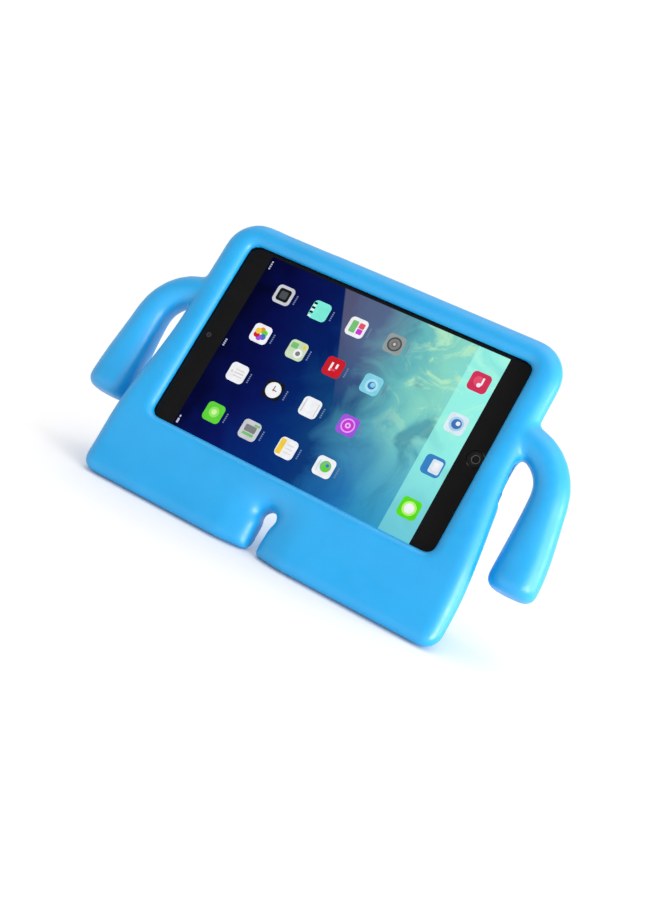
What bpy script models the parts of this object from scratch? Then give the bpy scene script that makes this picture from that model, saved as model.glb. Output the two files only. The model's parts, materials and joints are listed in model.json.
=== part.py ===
"""Child's foam tablet case with arms and feet, holding a small tablet in landscape.

Everything is laid out in the tablet's own frame: X to the right, Y up the screen and Z out
of the glass, with the origin at the centre of the glass face.  One empty, case_root, then
leans that frame back and lifts it so that the feet stand at Z = 0.
"""
import math

import bpy
import bmesh
from mathutils import Matrix, Vector

MM = 0.001
GAP = 0.3 * MM                      # clearance between pieces that would otherwise touch
OVERSHOOT = 1.0 * MM                # cutters run this far past the faces they open
END_EASE = 0.05 * MM                # keeps a short flat between the two round ends of a slot
SHARP_ANGLE = math.radians(35.0)

# How the case stands
RECLINE = math.radians(22.0)        # the screen's lean from the vertical

# Tablet
TABLET_LENGTH = 200.0 * MM
TABLET_WIDTH = 134.7 * MM
TABLET_THICKNESS = 7.2 * MM
TABLET_CORNER = 11.5 * MM
TABLET_BACK_ROUND = 4.0 * MM        # rounding round the housing's back edge
HOUSING_RIM_DROP = 0.3 * MM         # the housing's rim sits this far below the glass face
HOUSING_RIM = 0.7 * MM              # rim outside the glass
HOUSING_WALL = 3.7 * MM
HOUSING_FLOOR = 0.9 * MM
GLASS_THICKNESS = 1.0 * MM
DISPLAY_END_BORDER = 19.55 * MM     # tablet's ends to the display
DISPLAY_EDGE_BORDER = 6.95 * MM     # tablet's long edges to the display
DISPLAY_THICKNESS = 2.1 * MM
BACK_PLATE_THICKNESS = 0.4 * MM
BACK_PLATE_INSET = 0.5 * MM         # inside the display's edge
PANEL_CORNER = 1.0 * MM
SCREW_FROM_EDGE = 17.35 * MM        # screws to the tablet's long edges
SCREW_BEYOND_DISPLAY = 2.1 * MM
SCREW_HEAD = 1.6 * MM
SCREW_HEAD_THICKNESS = 0.7 * MM
SCREW_SHANK = 0.8 * MM
BOSS_RADIUS = 2.4 * MM
EAR_RADIUS = 2.4 * MM
EAR_LENGTH = 6.0 * MM
BATTERY_CORNER = 2.0 * MM
BATTERY_GAP = 2.0 * MM              # between the two cells
BATTERY_END_MARGIN = 2.45 * MM      # inside the display's ends
BATTERY_BELOW = 4.15 * MM           # cavity left below the cells
BATTERY_ABOVE = 20.15 * MM          # and above them, for the board
BOARD_WIDTH = 14.0 * MM
BOARD_CORNER = 1.5 * MM
BOARD_FROM_TOP = 3.65 * MM          # board to the cavity's top
BOARD_SHARE = 0.76                  # board's length as a share of the two cells'

# Controls and ports of the tablet
HOME_BUTTON_FROM_END = 9.9 * MM
HOME_BUTTON_RADIUS = 5.0 * MM
HOME_BUTTON_DEPTH = 1.6 * MM
HOME_BUTTON_SUNK = 0.1 * MM         # button's rim below the glass face
HOME_BUTTON_DISH = 0.35 * MM        # and its middle
HOME_BUTTON_RIM = 1.2 * MM
HOME_SWITCH_LENGTH = 9.0 * MM
HOME_SWITCH_WIDTH = 14.0 * MM
HOME_SWITCH_THICKNESS = 0.5 * MM
HOME_BUTTON_TRAVEL = 0.5 * MM       # space under the button
EDGE_CONTROL_DEPTH = 3.3 * MM       # edge buttons' centre line below the glass face
EDGE_CONTROL_HEIGHT = 2.0 * MM
EDGE_CONTROL_PROUD = 0.5 * MM
EDGE_CONTROL_STEM = 5.2 * MM
SLEEP_BUTTON_FROM_TOP = 17.35 * MM
SLEEP_BUTTON_LENGTH = 9.0 * MM
SIDE_SWITCH_FROM_END = 24.0 * MM
SIDE_SWITCH_LENGTH = 4.5 * MM
SIDE_SWITCH_TRAVEL = 1.5 * MM
VOLUME_UP_FROM_END = 37.0 * MM
VOLUME_DOWN_FROM_END = 48.0 * MM
VOLUME_BUTTON_LENGTH = 8.0 * MM
PORT_WIDTH = 9.2 * MM
PORT_HEIGHT = 2.6 * MM
PORT_LENGTH = 10.0 * MM
PORT_DEPTH = 4.3 * MM               # port's centre line below the glass face
PORT_WALL = 0.4 * MM
PORT_FLOOR = 2.0 * MM               # closed inner end of the port's shell
PORT_INSET = 1.5 * MM               # port's mouth inside the tablet's end
SPEAKER_Y = 23.5 * MM
SPEAKER_LENGTH = 20.0 * MM
SPEAKER_WIDTH = 10.5 * MM
SPEAKER_THICKNESS = 3.0 * MM
SPEAKER_CORNER = 1.5 * MM
GRILLE_HEIGHT = 1.9 * MM
GRILLE_THICKNESS = 1.0 * MM
GRILLE_INSET = 2.0 * MM             # grille inside the tablet's end
JACK_FROM_BOTTOM = 12.35 * MM
JACK_DEPTH = 3.8 * MM
JACK_RADIUS = 2.1 * MM
JACK_BORE = 1.75 * MM
JACK_LENGTH = 14.0 * MM
JACK_FLOOR = 2.0 * MM               # closed inner end of the jack
JACK_INSET = 1.0 * MM
FRONT_CAMERA_FROM_END = 9.9 * MM
FRONT_CAMERA_RADIUS = 2.6 * MM
FRONT_CAMERA_LENGTH = 3.0 * MM
REAR_CAMERA_FROM_END = 12.0 * MM
REAR_CAMERA_FROM_TOP = 11.35 * MM
REAR_CAMERA_RING = 3.9 * MM
REAR_CAMERA_RING_WALL = 0.8 * MM
REAR_CAMERA_SEAT_WALL = 1.0 * MM    # of the raised seat that holds the ring and lens
REAR_CAMERA_SEAT_FLOOR = 0.6 * MM
REAR_CAMERA_SEAT_RISE = 1.0 * MM    # seat's top above the cavity's floor
REAR_CAMERA_PUPIL = 1.8 * MM        # hole through the seat for the camera module's view
REAR_CAMERA_LENS_SUNK = 0.2 * MM
REAR_CAMERA_MODULE = 7.5 * MM
REAR_CAMERA_MODULE_TOP = 2.2 * MM   # below the glass face

# Foam case
POCKET_CLEARANCE = 0.4 * MM
FRAME_TOP_BORDER = 9.65 * MM        # foam beyond the tablet's top edge
FRAME_SIDE_BORDER = 12.0 * MM       # foam beyond the tablet's ends
FOOT_FLARE = 8.0 * MM               # how much wider each side is at the feet
FOOT_DROP = 39.2 * MM               # feet below the tablet's bottom edge
FRAME_FRONT = 6.5 * MM              # frame's front face above the glass
FOOT_FRONT = 4.0 * MM               # feet's front face above the glass plane
FRAME_DEPTH = 22.0 * MM
FOOT_DEPTH = 62.0 * MM
CENTRE_WALL = 14.0 * MM             # foam left in front of the arch between the heels
ARCH_INNER = 26.0 * MM              # half-width where the arch is fully open
ARCH_OUTER = 46.0 * MM              # half-width where the heels reach their full depth
FLARE_RISE = 80.5 * MM              # the back starts to swell this far above the sole
SIDE_FLARE_TOP_RISE = 116.5 * MM    # the sides start to flare this far above the sole
SIDE_FLARE_END_RISE = 26.5 * MM     # and reach the feet's full width here
SIDE_TAPER = 0.27                   # the sides draw in behind the front's rounding, per length
CENTRE_THIN_DROP = 0.65 * MM        # the arch starts this far below the tablet
CENTRE_THIN_LENGTH = 12.0 * MM
FRONT_EASE_RISE = 17.35 * MM        # the front starts to ease this far above the tablet's bottom
FRONT_EASE_LENGTH = 38.0 * MM
TOP_CORNER = 21.0 * MM
FOOT_CORNER = 9.5 * MM
FRONT_ROUND = 8.5 * MM
BACK_ROUND = 8.0 * MM
BACK_ROUND_SHARE = 0.8              # most of a thin wall that the back's rounding may take
WINDOW_SIDE_LIP = 5.5 * MM          # foam over the glass at each end
WINDOW_TOP_LIP = 5.9 * MM
WINDOW_BOTTOM_LIP = 9.35 * MM
WINDOW_CORNER = 4.5 * MM
WINDOW_ROUND = 5.5 * MM

# Broad valley in the front round the keyhole
VALLEY_DEPTH = 4.5 * MM
VALLEY_HALF_WIDTH = 24.0 * MM
VALLEY_START = 4.0 * MM             # below the window's lower edge
VALLEY_LENGTH = 20.0 * MM           # over which it deepens

# Keyhole slot between the feet
KEYHOLE_BULB_DROP = 12.85 * MM      # bulb's centre below the tablet's bottom edge
KEYHOLE_BULB = 4.9 * MM
KEYHOLE_NECK = 2.7 * MM
KEYHOLE_FOOT_ROUND = 8.5 * MM
KEYHOLE_FRONT_ROUND = 7.0 * MM
KEYHOLE_FOOT_START = 255.0          # degrees where the foot's rounding meets the sole
KEYHOLE_SHOULDER = 12.0             # degrees of the bulb left out where the neck joins it
KEYHOLE_RUN_OUT = 12.0 * MM         # cutter's length past the sole
KEYHOLE_REACH = 40.0 * MM           # cutter's depth behind the front

# Arms
ARM_SHOULDER_DROP = 54.0 * MM       # shoulder's centre line below the frame's top
ARM_HAND_RISE = 55.5 * MM           # where the hand's end rounding starts, above the sole
ARM_REACH = 23.0 * MM               # arm's centre line beyond the frame's side
ARM_BEND = 28.5 * MM                # radius of the shoulder's bend
ARM_SPREAD = 2.8 * MM               # the hand stands this much further out than the elbow
ARM_ROOT_WIDTH = 20.0 * MM
ARM_HAND_WIDTH = 28.5 * MM
ARM_ROOT_DEPTH = 20.0 * MM
ARM_HAND_DEPTH = 24.5 * MM
ARM_ROOT_Z = -4.5 * MM
ARM_HAND_Z = -14.0 * MM
ARM_END_ROUND = 6.0 * MM
ARM_EDGE_ROUND = 11.0 * MM
ARM_ROOTED = 9.5 * MM               # arm's start inside the frame's side
ARM_ROOT_LENGTH = 4.0 * MM          # straight stretch before the bend
ARM_TURN = 84.0                     # degrees that the shoulder turns through
ARM_SWELL_START = 0.3               # share of the arm's length where it starts to widen
ARM_LEAST_FLAT = 0.5 * MM

# Openings in the foam
PORT_OPENING_BELOW = 17.0 * MM      # from the port's centre down
PORT_OPENING_ABOVE = 8.0 * MM       # and up to the shoulder
PORT_OPENING_HEIGHT = 9.0 * MM
EDGE_OPENING_MARGIN = 3.5 * MM
EDGE_OPENING_HEIGHT = 7.0 * MM
OPENING_CORNER = 2.5 * MM
PORT_OPENING_CORNER = 3.0 * MM
CAMERA_OPENING_RADIUS = 7.5 * MM

# Fineness of the curves
ARC_STEPS = 5                       # segments in a quarter circle of a large corner
SMALL_ARC_STEPS = 3
FLARE_STEPS = 4                     # over the rounded front edge of an opening
SIDE_ROWS = 26                      # rows up the case's side
BEND_STEPS = 7
FOREARM_STEPS = 5
HAND_STEPS = 4
CIRCLE_STEPS = 24
SEAT_STEPS = 20
BORE_STEPS = 16
BOSS_STEPS = 12
SHANK_STEPS = 8


def clear_scene():
    for item in list(bpy.data.objects):
        bpy.data.objects.remove(item, do_unlink=True)


def make_material(name, colour, roughness, metallic=0.0):
    material = bpy.data.materials.new(name)
    material.use_nodes = True
    shader = material.node_tree.nodes["Principled BSDF"]
    shader.inputs["Base Color"].default_value = (*colour, 1.0)
    shader.inputs["Roughness"].default_value = roughness
    shader.inputs["Metallic"].default_value = metallic
    return material


def smoothstep(value):
    value = min(1.0, max(0.0, value))
    return value * value * (3.0 - 2.0 * value)


# ---------------------------------------------------------------- outlines


def arc(centre, radius, start, stop, steps):
    """Points on an arc with their outward normals; the angles are in degrees."""
    points = []
    for step in range(steps + 1):
        angle = math.radians(start + (stop - start) * step / steps)
        normal = Vector((math.cos(angle), math.sin(angle)))
        points.append((Vector(centre) + radius * normal, normal))
    return points


def rounded_rectangle(length, width, radius, steps=SMALL_ARC_STEPS):
    """A closed anticlockwise outline: (point, outward normal) pairs."""
    outline = []
    for quadrant, (sign_x, sign_y) in enumerate(((1, 1), (-1, 1), (-1, -1), (1, -1))):
        centre = (sign_x * (length / 2 - radius), sign_y * (width / 2 - radius))
        outline += arc(centre, radius, 90 * quadrant, 90 * (quadrant + 1), steps)
    return outline


def circle(radius, steps=CIRCLE_STEPS):
    return arc((0, 0), radius, 0, 360, steps)[:-1]


# ---------------------------------------------------------------- solids


def add_object(name, mesh, material=None):
    item = bpy.data.objects.new(name, mesh)
    bpy.context.collection.objects.link(item)
    item.parent = case_root
    if material is not None:
        mesh.materials.append(material)
    return item


def finish_mesh(name, data):
    bmesh.ops.recalc_face_normals(data, faces=data.faces)
    mesh = bpy.data.meshes.new(name)
    data.to_mesh(mesh)
    data.free()
    mesh.shade_smooth()
    mesh.set_sharp_from_angle(angle=SHARP_ANGLE)
    return mesh


def layered_mesh(name, outline, layers):
    """A solid of one outline, grown or shrunk layer by layer; layers are (offset, z)."""
    data = bmesh.new()
    rings = []
    for offset, z in layers:
        ring = []
        for point, normal in outline:
            place = point + normal * offset
            ring.append(data.verts.new((place.x, place.y, z)))
        rings.append(ring)
    count = len(outline)
    for lower, upper in zip(rings, rings[1:]):
        for index in range(count):
            following = (index + 1) % count
            data.faces.new((lower[index], lower[following], upper[following], upper[index]))
    data.faces.new(rings[0])
    data.faces.new(rings[-1])
    return finish_mesh(name, data)


def plate(name, outline, top, bottom, material=None, place=(0.0, 0.0)):
    """A flat piece between two heights, placed by its object's location."""
    middle = (top + bottom) / 2
    mesh = layered_mesh(name, outline, ((0.0, bottom - middle), (0.0, top - middle)))
    item = add_object(name, mesh, material)
    item.location = (place[0], place[1], middle)
    return item


def bar(name, outline, start, stop, direction, place, material=None):
    """A prism along X or Y: the outline's first axis lies level, its second along Z."""
    middle = (start + stop) / 2
    mesh = layered_mesh(name, outline, ((0.0, start - middle), (0.0, stop - middle)))
    turn = Matrix.Rotation(math.radians(90), 4, "X")
    if direction == "X":
        turn = Matrix.Rotation(math.radians(90), 4, "Z") @ turn
    else:
        turn = Matrix.Rotation(math.radians(180), 4, "Z") @ turn
    mesh.transform(turn)
    item = add_object(name, mesh, material)
    item.location = (middle, place[0], place[1]) if direction == "X" else (place[0], middle, place[1])
    return item


def as_cutter(item):
    item.hide_render = True
    item.display_type = "WIRE"
    return item


def cut(target, cutter, operation="DIFFERENCE"):
    modifier = target.modifiers.new(f"{operation.lower()}_{cutter.name}", "BOOLEAN")
    modifier.operation = operation
    modifier.solver = "EXACT"
    modifier.object = as_cutter(cutter)


# ---------------------------------------------------------------- tablet

HALF_LENGTH = TABLET_LENGTH / 2
HALF_WIDTH = TABLET_WIDTH / 2
DISPLAY_LENGTH = TABLET_LENGTH - 2 * DISPLAY_END_BORDER
DISPLAY_WIDTH = TABLET_WIDTH - 2 * DISPLAY_EDGE_BORDER
CAVITY_FLOOR = -TABLET_THICKNESS + HOUSING_FLOOR
CAVITY_LENGTH = TABLET_LENGTH - 2 * HOUSING_WALL
CAVITY_WIDTH = TABLET_WIDTH - 2 * HOUSING_WALL
LEDGE_Z = -GLASS_THICKNESS - GAP
DISPLAY_TOP = LEDGE_Z
DISPLAY_BOTTOM = DISPLAY_TOP - DISPLAY_THICKNESS
BACK_PLATE_TOP = DISPLAY_BOTTOM - GAP
BACK_PLATE_BOTTOM = BACK_PLATE_TOP - BACK_PLATE_THICKNESS
BATTERY_BOTTOM = CAVITY_FLOOR + GAP
BATTERY_TOP = BACK_PLATE_BOTTOM - GAP
HOME_BUTTON_X = HALF_LENGTH - HOME_BUTTON_FROM_END
SLEEP_BUTTON_Y = HALF_WIDTH - SLEEP_BUTTON_FROM_TOP
SIDE_SWITCH_X = -HALF_LENGTH + SIDE_SWITCH_FROM_END
VOLUME_UP_X = -HALF_LENGTH + VOLUME_UP_FROM_END
VOLUME_DOWN_X = -HALF_LENGTH + VOLUME_DOWN_FROM_END
JACK_Y = -HALF_WIDTH + JACK_FROM_BOTTOM
FRONT_CAMERA_X = -HALF_LENGTH + FRONT_CAMERA_FROM_END
REAR_CAMERA_X = -HALF_LENGTH + REAR_CAMERA_FROM_END
REAR_CAMERA_Y = HALF_WIDTH - REAR_CAMERA_FROM_TOP
REAR_CAMERA_SEAT_TOP = CAVITY_FLOOR + REAR_CAMERA_SEAT_RISE
REAR_CAMERA_RING_TOP = REAR_CAMERA_SEAT_TOP - REAR_CAMERA_SEAT_FLOOR - GAP
SCREW_X = DISPLAY_LENGTH / 2 + SCREW_BEYOND_DISPLAY
SCREW_Y = HALF_WIDTH - SCREW_FROM_EDGE


def tablet_outline(inset=0.0):
    return rounded_rectangle(TABLET_LENGTH - 2 * inset, TABLET_WIDTH - 2 * inset,
                             TABLET_CORNER - inset, ARC_STEPS)


def build_housing(material):
    layers = [(0.0, -HOUSING_RIM_DROP)]
    flat_end = -TABLET_THICKNESS + TABLET_BACK_ROUND
    for step in range(ARC_STEPS + 1):
        angle = math.radians(90 * step / ARC_STEPS)
        layers.append((-TABLET_BACK_ROUND * (1 - math.cos(angle)),
                       flat_end - TABLET_BACK_ROUND * math.sin(angle)))
    housing = add_object("rear_housing", layered_mesh("rear_housing", tablet_outline(), layers), material)
    cut(housing, plate("cut_glass_seat", tablet_outline(HOUSING_RIM), OVERSHOOT, LEDGE_Z))
    cavity = rounded_rectangle(CAVITY_LENGTH, CAVITY_WIDTH, TABLET_CORNER - HOUSING_WALL, ARC_STEPS)
    cut(housing, plate("cut_cavity", cavity, OVERSHOOT, CAVITY_FLOOR))
    for number, (sign_x, sign_y) in enumerate(((1, 1), (-1, 1), (-1, -1), (1, -1)), 1):
        place = (sign_x * SCREW_X, sign_y * SCREW_Y)
        boss = plate(f"boss_{number}", circle(BOSS_RADIUS, BOSS_STEPS), BACK_PLATE_BOTTOM - GAP,
                     CAVITY_FLOOR - HOUSING_FLOOR / 2, place=place)
        cut(housing, boss, "UNION")
        cut(housing, plate(f"cut_boss_{number}", circle(SCREW_SHANK + GAP, SHANK_STEPS), 0.0,
                           CAVITY_FLOOR + GAP, place=place))
    cut_housing_walls(housing)
    build_camera_seat(housing)
    return housing


def control_hole(name, length, start, stop, direction, place):
    """A slot through the housing's wall for an edge control."""
    outline = rounded_rectangle(length + 2 * GAP, EDGE_CONTROL_HEIGHT + 2 * GAP,
                                EDGE_CONTROL_HEIGHT / 2)
    return bar(name, outline, start, stop, direction, place)


def cut_housing_walls(housing):
    inner_x = HALF_LENGTH - HOUSING_WALL - OVERSHOOT
    inner_y = HALF_WIDTH - HOUSING_WALL - OVERSHOOT
    outer_x = HALF_LENGTH + OVERSHOOT
    outer_y = HALF_WIDTH + OVERSHOOT
    level = -EDGE_CONTROL_DEPTH
    cut(housing, control_hole("cut_sleep", SLEEP_BUTTON_LENGTH, -outer_x, -inner_x, "X",
                              (SLEEP_BUTTON_Y, level)))
    for name, x in (("up", VOLUME_UP_X), ("down", VOLUME_DOWN_X)):
        cut(housing, control_hole(f"cut_volume_{name}", VOLUME_BUTTON_LENGTH, inner_y, outer_y,
                                  "Y", (x, level)))
    cut(housing, control_hole("cut_switch", SIDE_SWITCH_LENGTH + SIDE_SWITCH_TRAVEL, inner_y,
                              outer_y, "Y", (SIDE_SWITCH_X + SIDE_SWITCH_TRAVEL / 2, level)))
    port = rounded_rectangle(PORT_WIDTH + 2 * GAP, PORT_HEIGHT + 2 * GAP, PORT_HEIGHT / 2)
    cut(housing, bar("cut_port", port, inner_x, outer_x, "X", (0.0, -PORT_DEPTH)))
    grille = rounded_rectangle(SPEAKER_LENGTH, GRILLE_HEIGHT + 2 * GAP, GRILLE_HEIGHT / 2)
    for sign, name in ((1, "upper"), (-1, "lower")):
        cut(housing, bar(f"cut_grille_{name}", grille, inner_x, outer_x, "X",
                         (sign * SPEAKER_Y, -PORT_DEPTH)))
    cut(housing, bar("cut_jack", circle(JACK_RADIUS + GAP, BORE_STEPS), -outer_x, -inner_x, "X",
                     (JACK_Y, -JACK_DEPTH)))


def build_camera_seat(housing):
    """A raised seat inside the housing, recessed from behind for the camera's ring and lens."""
    place = (REAR_CAMERA_X, REAR_CAMERA_Y)
    recess = REAR_CAMERA_RING + GAP
    seat = plate("camera_seat", circle(recess + REAR_CAMERA_SEAT_WALL, SEAT_STEPS),
                 REAR_CAMERA_SEAT_TOP, CAVITY_FLOOR - HOUSING_FLOOR / 2, place=place)
    cut(housing, seat, "UNION")
    cut(housing, plate("cut_camera_recess", circle(recess, SEAT_STEPS), REAR_CAMERA_RING_TOP + GAP,
                       -TABLET_THICKNESS - OVERSHOOT, place=place))
    cut(housing, plate("cut_camera_pupil", circle(REAR_CAMERA_PUPIL, BOSS_STEPS),
                       REAR_CAMERA_SEAT_TOP + OVERSHOOT, REAR_CAMERA_RING_TOP, place=place))


def build_front(glass_material, display_material, button_material, metal):
    glass = plate("front_glass", tablet_outline(HOUSING_RIM + GAP), 0.0, -GLASS_THICKNESS, glass_material)
    cut(glass, plate("cut_home", circle(HOME_BUTTON_RADIUS + GAP), OVERSHOOT,
                     -GLASS_THICKNESS - OVERSHOOT, place=(HOME_BUTTON_X, 0.0)))
    plate("display_panel", rounded_rectangle(DISPLAY_LENGTH, DISPLAY_WIDTH, PANEL_CORNER),
          DISPLAY_TOP, DISPLAY_BOTTOM, display_material)
    layers = ((0.0, -HOME_BUTTON_DEPTH), (0.0, -HOME_BUTTON_SUNK),
              (-HOME_BUTTON_RIM, -HOME_BUTTON_SUNK), (-2 * HOME_BUTTON_RIM, -HOME_BUTTON_DISH))
    dish = layered_mesh("home_button", circle(HOME_BUTTON_RADIUS), layers)
    button = add_object("home_button", dish, button_material)
    button.location = (HOME_BUTTON_X, 0.0, 0.0)
    switch_top = -HOME_BUTTON_DEPTH - HOME_BUTTON_TRAVEL
    plate("home_button_switch",
          rounded_rectangle(HOME_SWITCH_LENGTH, HOME_SWITCH_WIDTH, BOARD_CORNER),
          switch_top, switch_top - HOME_SWITCH_THICKNESS, metal, (HOME_BUTTON_X, 0.0))


def build_back_plate(metal, screw_metal):
    outline = rounded_rectangle(DISPLAY_LENGTH - 2 * BACK_PLATE_INSET,
                                DISPLAY_WIDTH - 2 * BACK_PLATE_INSET, PANEL_CORNER)
    back_plate = plate("display_back_plate", outline, BACK_PLATE_TOP, BACK_PLATE_BOTTOM, metal)
    ear_outline = rounded_rectangle(EAR_LENGTH, 2 * EAR_RADIUS, EAR_RADIUS - GAP)
    ear_x = SCREW_X + EAR_RADIUS - EAR_LENGTH / 2
    for number, (sign_x, sign_y) in enumerate(((1, 1), (-1, 1), (-1, -1), (1, -1)), 1):
        ear = plate(f"ear_{number}", ear_outline, BACK_PLATE_TOP, BACK_PLATE_BOTTOM,
                    place=(sign_x * ear_x, sign_y * SCREW_Y))
        cut(back_plate, ear, "UNION")
        place = (sign_x * SCREW_X, sign_y * SCREW_Y)
        hole = circle(SCREW_SHANK + GAP, SHANK_STEPS)
        cut(back_plate, plate(f"cut_ear_{number}", hole, 0.0, BACK_PLATE_BOTTOM - OVERSHOOT,
                              place=place))
        build_screw(number, place, screw_metal)


def build_screw(number, place, material):
    shank_end = CAVITY_FLOOR + 2 * GAP
    head_under = BACK_PLATE_TOP + GAP
    head_top = head_under + SCREW_HEAD_THICKNESS
    inset = SCREW_SHANK - SCREW_HEAD
    layers = ((inset, shank_end), (inset, head_under), (0.0, head_under), (0.0, head_top))
    mesh = layered_mesh(f"plate_screw_{number}", circle(SCREW_HEAD, BOSS_STEPS), layers)
    add_object(f"plate_screw_{number}", mesh, material).location = (*place, 0.0)


def build_inner_parts(battery_material, board_material, module_material):
    cell_length = (DISPLAY_LENGTH - BATTERY_GAP) / 2 - BATTERY_END_MARGIN
    cell_width = CAVITY_WIDTH - BATTERY_BELOW - BATTERY_ABOVE
    cell_y = -CAVITY_WIDTH / 2 + BATTERY_BELOW + cell_width / 2
    cell_outline = rounded_rectangle(cell_length, cell_width, BATTERY_CORNER)
    for sign, name in ((-1, "left"), (1, "right")):
        plate(f"battery_cell_{name}", cell_outline, BATTERY_TOP, BATTERY_BOTTOM, battery_material,
              (sign * (cell_length + BATTERY_GAP) / 2, cell_y))
    board_length = BOARD_SHARE * (2 * cell_length + BATTERY_GAP)
    board_x = -cell_length - BATTERY_GAP / 2 + board_length / 2
    board_y = CAVITY_WIDTH / 2 - BOARD_FROM_TOP - BOARD_WIDTH / 2
    plate("logic_board", rounded_rectangle(board_length, BOARD_WIDTH, BOARD_CORNER),
          BATTERY_TOP - GAP, BATTERY_BOTTOM + GAP, board_material, (board_x, board_y))
    plate("front_camera", circle(FRONT_CAMERA_RADIUS, SEAT_STEPS), LEDGE_Z,
          LEDGE_Z - FRONT_CAMERA_LENGTH, module_material, (FRONT_CAMERA_X, 0.0))
    speaker_x = HALF_LENGTH - HOUSING_WALL - GAP - SPEAKER_WIDTH / 2
    speaker = rounded_rectangle(SPEAKER_WIDTH, SPEAKER_LENGTH, SPEAKER_CORNER)
    for sign, name in ((1, "upper"), (-1, "lower")):
        plate(f"speaker_{name}", speaker, -PORT_DEPTH + SPEAKER_THICKNESS / 2,
              -PORT_DEPTH - SPEAKER_THICKNESS / 2, module_material, (speaker_x, sign * SPEAKER_Y))


def build_ports(metal, module_material):
    port_end = HALF_LENGTH - PORT_INSET
    port_start = port_end - PORT_LENGTH
    outline = rounded_rectangle(PORT_WIDTH, PORT_HEIGHT, PORT_HEIGHT / 2 - END_EASE)
    port = bar("charging_port", outline, port_start, port_end, "X", (0.0, -PORT_DEPTH), metal)
    inner = rounded_rectangle(PORT_WIDTH - 2 * PORT_WALL, PORT_HEIGHT - 2 * PORT_WALL,
                              PORT_HEIGHT / 2 - PORT_WALL - END_EASE)
    cut(port, bar("cut_port_mouth", inner, port_start + PORT_FLOOR, port_end + OVERSHOOT, "X",
                  (0.0, -PORT_DEPTH)))
    grille = rounded_rectangle(SPEAKER_LENGTH - 2 * GAP, GRILLE_HEIGHT, GRILLE_HEIGHT / 2 - END_EASE)
    grille_end = HALF_LENGTH - GRILLE_INSET
    for sign, name in ((1, "upper"), (-1, "lower")):
        bar(f"speaker_grille_{name}", grille, grille_end - GRILLE_THICKNESS, grille_end, "X",
            (sign * SPEAKER_Y, -PORT_DEPTH), metal)
    jack_end = -HALF_LENGTH + JACK_INSET
    jack = bar("headphone_jack", circle(JACK_RADIUS, BORE_STEPS), jack_end, jack_end + JACK_LENGTH,
               "X", (JACK_Y, -JACK_DEPTH), module_material)
    cut(jack, bar("cut_jack_bore", circle(JACK_BORE, BORE_STEPS), jack_end - OVERSHOOT,
                  jack_end + JACK_LENGTH - JACK_FLOOR, "X", (JACK_Y, -JACK_DEPTH)))


def build_rear_camera(metal, module_material, glass_material):
    place = (REAR_CAMERA_X, REAR_CAMERA_Y)
    ring = plate("rear_camera_ring", circle(REAR_CAMERA_RING), REAR_CAMERA_RING_TOP,
                 -TABLET_THICKNESS, metal, place)
    ring_bore = REAR_CAMERA_RING - REAR_CAMERA_RING_WALL
    cut(ring, plate("cut_ring", circle(ring_bore), 0.0, -TABLET_THICKNESS - OVERSHOOT, place=place))
    plate("rear_camera_lens", circle(ring_bore - GAP), REAR_CAMERA_RING_TOP,
          -TABLET_THICKNESS + REAR_CAMERA_LENS_SUNK, glass_material, place)
    plate("rear_camera_module",
          rounded_rectangle(REAR_CAMERA_MODULE, REAR_CAMERA_MODULE, PANEL_CORNER),
          -REAR_CAMERA_MODULE_TOP, REAR_CAMERA_SEAT_TOP + GAP, module_material, place)


def build_edge_control(name, length, direction, along, material):
    """A button or switch with its stem through the housing's wall."""
    outline = rounded_rectangle(length, EDGE_CONTROL_HEIGHT, EDGE_CONTROL_HEIGHT / 2 - END_EASE)
    level = -EDGE_CONTROL_DEPTH
    if direction == "X":
        tip = -HALF_LENGTH - EDGE_CONTROL_PROUD
        return bar(name, outline, tip, tip + EDGE_CONTROL_STEM, "X", (along, level), material)
    tip = HALF_WIDTH + EDGE_CONTROL_PROUD
    return bar(name, outline, tip - EDGE_CONTROL_STEM, tip, "Y", (along, level), material)


# ---------------------------------------------------------------- foam case

FRAME_TOP = HALF_WIDTH + FRAME_TOP_BORDER
FOOT_BOTTOM = -HALF_WIDTH - FOOT_DROP
FRAME_HALF = HALF_LENGTH + FRAME_SIDE_BORDER
FLARE_TOP = FOOT_BOTTOM + FLARE_RISE
SIDE_FLARE_TOP = FOOT_BOTTOM + SIDE_FLARE_TOP_RISE
SIDE_FLARE_END = FOOT_BOTTOM + SIDE_FLARE_END_RISE
CENTRE_THIN_TOP = -HALF_WIDTH - CENTRE_THIN_DROP
FRONT_EASE_TOP = -HALF_WIDTH + FRONT_EASE_RISE
VALLEY_TOP = -HALF_WIDTH + WINDOW_BOTTOM_LIP - VALLEY_START


def half_width_at(y):
    """Outer half-width of the case at height y: straight sides that flare to the feet."""
    share = (SIDE_FLARE_TOP - y) / (SIDE_FLARE_TOP - SIDE_FLARE_END)
    return FRAME_HALF + FOOT_FLARE * smoothstep(share)


def front_at(y):
    """Height of the front face above the glass, away from the valley."""
    eased = smoothstep((FRONT_EASE_TOP - y) / FRONT_EASE_LENGTH)
    return FRAME_FRONT - (FRAME_FRONT - FOOT_FRONT) * eased


def valley_at(x, y):
    """How far the front face dips round the keyhole."""
    across = 1.0 - smoothstep(abs(x) / VALLEY_HALF_WIDTH)
    return VALLEY_DEPTH * across * smoothstep((VALLEY_TOP - y) / VALLEY_LENGTH)


def front_height(x, y):
    """Height of the front face above the glass, with the valley."""
    return front_at(y) - valley_at(x, y) * math.cos(RECLINE * flare_at(y))


def flare_at(y):
    """Share of the heel's swelling at height y: 0 at the frame, 1 at the sole."""
    return min(1.0, max(0.0, (FLARE_TOP - y) / (FLARE_TOP - FOOT_BOTTOM)))


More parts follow.
